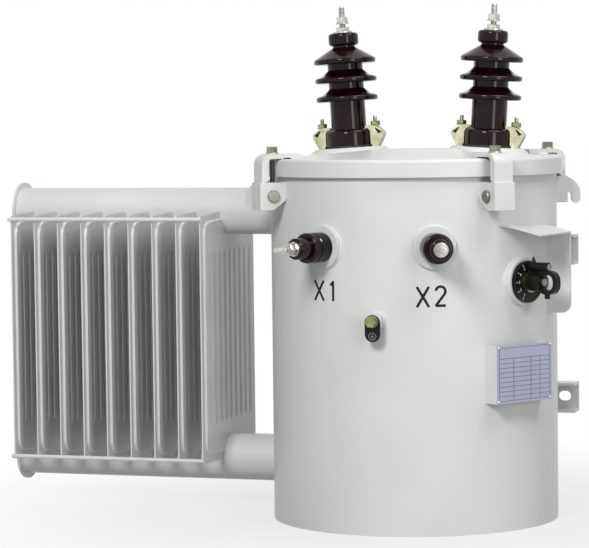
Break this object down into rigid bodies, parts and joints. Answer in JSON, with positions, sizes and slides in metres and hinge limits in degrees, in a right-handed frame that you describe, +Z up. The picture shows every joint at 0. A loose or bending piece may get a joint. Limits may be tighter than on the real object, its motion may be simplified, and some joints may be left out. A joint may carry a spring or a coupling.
{
  "type": "pole-mounted transformer",
  "caption": "Round-tank distribution transformer with brown porcelain bushings, a side radiator of pressed panels, a tap changer and hanger channels for a pole.",
  "frame": {"origin": "the tank's axis on its base, where it stands", "axes": "+Z up; -Y is the front with the low-voltage bushings; the radiator is towards -X and the pole hangers towards +Y"},
  "size_m": [1.1125, 0.6501, 0.9509],
  "materials": {
    "tank_paint": "satin",
    "porcelain": "gloss",
    "tinned_metal": "satin",
    "gasket_rubber": "matte",
    "yellow_zinc": "satin",
    "black_plastic": "satin",
    "brass_ring": "satin",
    "plate_metal": "satin"
  },
  "bodies": {
    "root": {"claw_brackets": "tank_paint", "earth_boss": "tank_paint", "earth_tag": "black_plastic", "hanger_lower": "tank_paint", "hanger_upper": "tank_paint", "header_caps": "tank_paint", "header_lower": "tank_paint", "header_upper": "tank_paint", "hv_bushing_1": "porcelain", "hv_bushing_2": "porcelain", "hv_clamps": "yellow_zinc", "hv_gaskets": "gasket_rubber", "hv_terminal_1": "tinned_metal", "hv_terminal_2": "tinned_metal", "lid": "tank_paint", "lid_claw_1": "tank_paint", "lid_claw_2": "tank_paint", "lid_claw_3": "tank_paint", "lid_claw_4": "tank_paint", "lid_gasket": "gasket_rubber", "lifting_hook_1": "tank_paint", "lifting_hook_2": "tank_paint", "lv_bushing_1": "porcelain", "lv_bushing_2": "porcelain", "lv_seats": "tank_paint", "lv_terminal_1": "tinned_metal", "lv_terminal_2": "tinned_metal", "nameplate": "plate_metal", "nameplate_box": "tank_paint", "radiator_panel_1": "tank_paint", "radiator_panel_2": "tank_paint", "radiator_panel_3": "tank_paint", "radiator_panel_4": "tank_paint", "radiator_panel_5": "tank_paint", "radiator_panel_6": "tank_paint", "radiator_panel_7": "tank_paint", "radiator_panel_8": "tank_paint", "radiator_panel_9": "tank_paint", "tank_bottom": "tank_paint", "tank_wall": "tank_paint", "tap_collar": "tank_paint", "tap_dial": "black_plastic", "tap_handle": "black_plastic", "tap_hood": "tank_paint", "tap_ring": "brass_ring", "tie_bars": "tank_paint"}
  },
  "joints": []
}
